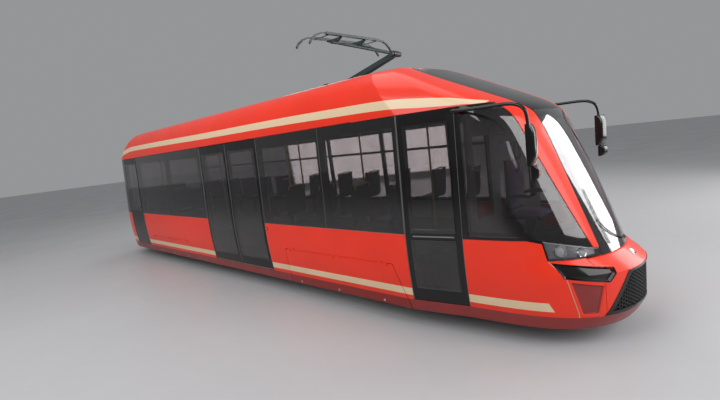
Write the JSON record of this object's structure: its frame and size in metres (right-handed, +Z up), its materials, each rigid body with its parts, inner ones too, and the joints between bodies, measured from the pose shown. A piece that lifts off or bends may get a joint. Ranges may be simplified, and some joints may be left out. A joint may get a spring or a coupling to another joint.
{
  "type": "tram",
  "caption": "Single-ended four-axle tram with two bogies, doors on one side, a sloped nose and a folding-arm pantograph.",
  "frame": {"origin": "middle of the car's length and width, at the lowest point of the wheel flanges", "axes": "+X towards the driver's end, +Y to the car's left, the doors are on the -Y side, +Z up"},
  "size_m": [12.7994, 2.4862, 4.0599],
  "materials": {
    "body_red": "gloss orange-red paint with pale stripes",
    "skirt_red": "satin dark red paint",
    "band_black": "gloss black paint",
    "tinted_glass": "dark tinted glass",
    "roof_grey": "matt grey paint",
    "under_steel": "dirty dark grey paint",
    "wheel_steel": "worn steel",
    "floor_cover": "ribbed floor covering",
    "seat_fabric": "woven upholstery",
    "rail_paint": "yellow powder coat",
    "cab_panel": "satin light grey paint",
    "lamp_clear": "clear lamp with bright reflectors",
    "panto_paint": "dark green-grey paint"
  },
  "bodies": {
    "car_body": {"underframe": "under_steel", "bolsters": "under_steel", "jack_arms": "under_steel", "tow_brackets": "under_steel", "under_boxes": "under_steel", "floor": "floor_cover", "side_panels": "body_red", "side_skirts": "skirt_red", "window_bands": "band_black", "side_glass": "tinted_glass", "roof_sides": "body_red", "roof_deck": "roof_grey", "roof_boxes": "roof_grey", "front_roof": "body_red", "brow": "band_black", "windscreen": "tinted_glass", "front_pillars": "body_red", "cab_glass": "tinted_glass", "corner_posts": "band_black", "cheeks": "body_red", "lamps": "lamp_clear", "hood": "body_red", "grille": "band_black", "end_skirts": "skirt_red", "rear_roof": "body_red", "rear_panel": "body_red", "rear_glass": "tinted_glass", "door_portals": "band_black", "door_leaves": "band_black", "door_glass": "tinted_glass", "seats": "seat_fabric", "handrails": "rail_paint", "driver_place": "seat_fabric", "cab_wall": "cab_panel", "mirrors": "band_black", "panto_base": "panto_paint"},
    "cab_door": {"cab_door": "cab_panel"},
    "hatch_front_right": {"hatch_front_right": "body_red"},
    "hatch_front_left": {"hatch_front_left": "body_red"},
    "hatch_rear_right": {"hatch_rear_right": "body_red"},
    "hatch_rear_left": {"hatch_rear_left": "body_red"},
    "bogie_front": {"bogie_front": "under_steel"},
    "bogie_rear": {"bogie_rear": "under_steel"},
    "wheelset_a": {"wheelset_a": "wheel_steel"},
    "wheelset_b": {"wheelset_b": "wheel_steel"},
    "wheelset_c": {"wheelset_c": "wheel_steel"},
    "wheelset_d": {"wheelset_d": "wheel_steel"},
    "panto_lower": {"panto_lower": "panto_paint"},
    "panto_upper": {"panto_upper": "panto_paint"},
    "panto_head": {"panto_head": "panto_paint"}
  },
  "joints": [
    {"name": "wheelset_a_roll", "type": "hinge", "parent": "bogie_front", "child": "wheelset_a", "pos_m": [3.8, 0, 0.353], "axis": [0, 1, 0], "continuous": true},
    {"name": "wheelset_b_roll", "type": "hinge", "parent": "bogie_front", "child": "wheelset_b", "pos_m": [1.9, 0, 0.353], "axis": [0, 1, 0], "continuous": true},
    {"name": "wheelset_c_roll", "type": "hinge", "parent": "bogie_rear", "child": "wheelset_c", "pos_m": [-1.9, 0, 0.353], "axis": [0, 1, 0], "continuous": true},
    {"name": "wheelset_d_roll", "type": "hinge", "parent": "bogie_rear", "child": "wheelset_d", "pos_m": [-3.8, 0, 0.353], "axis": [0, 1, 0], "continuous": true},
    {"name": "bogie_front_swivel", "type": "hinge", "parent": "car_body", "child": "bogie_front", "pos_m": [2.85, 0, 0.6], "axis": [0, 0, 1], "range_deg": [-9, 9]},
    {"name": "bogie_rear_swivel", "type": "hinge", "parent": "car_body", "child": "bogie_rear", "pos_m": [-2.85, 0, 0.6], "axis": [0, 0, 1], "range_deg": [-9, 9]},
    {"name": "hatch_front_right_lift", "type": "hinge", "parent": "car_body", "child": "hatch_front_right", "pos_m": [2.85, -1.1935, 0.804], "axis": [-1, 0, 0], "range_deg": [0, 80]},
    {"name": "hatch_front_left_lift", "type": "hinge", "parent": "car_body", "child": "hatch_front_left", "pos_m": [2.85, 1.1935, 0.804], "axis": [1, 0, 0], "range_deg": [0, 80]},
    {"name": "hatch_rear_right_lift", "type": "hinge", "parent": "car_body", "child": "hatch_rear_right", "pos_m": [-2.85, -1.18125, 0.644], "axis": [-1, 0, 0], "range_deg": [0, 80]},
    {"name": "hatch_rear_left_lift", "type": "hinge", "parent": "car_body", "child": "hatch_rear_left", "pos_m": [-2.85, 1.18125, 0.644], "axis": [1, 0, 0], "range_deg": [0, 80]},
    {"name": "cab_door_swing", "type": "hinge", "parent": "car_body", "child": "cab_door", "pos_m": [4.901, 0.38, 1.6], "axis": [0, 0, -1], "range_deg": [0, 85]},
    {"name": "panto_lower_raise", "type": "hinge", "parent": "car_body", "child": "panto_lower", "pos_m": [2.15, 0, 3.33], "axis": [0, -1, 0], "range_deg": [-8, 30]},
    {"name": "panto_knee", "type": "hinge", "parent": "panto_lower", "child": "panto_upper", "pos_m": [3.34848, 0, 3.60669], "axis": [0, 1, 0], "range_deg": [-16, 60]},
    {"name": "panto_head_tilt", "type": "hinge", "parent": "panto_upper", "child": "panto_head", "pos_m": [2.4, 0, 3.97], "axis": [0, -1, 0], "range_deg": [-8, 30]}
  ],
  "couplings": [
    {"joint": "panto_knee", "follows": "panto_lower_raise", "ratio": 1.9},
    {"joint": "panto_head_tilt", "follows": "panto_lower_raise", "ratio": 0.9}
  ]
}
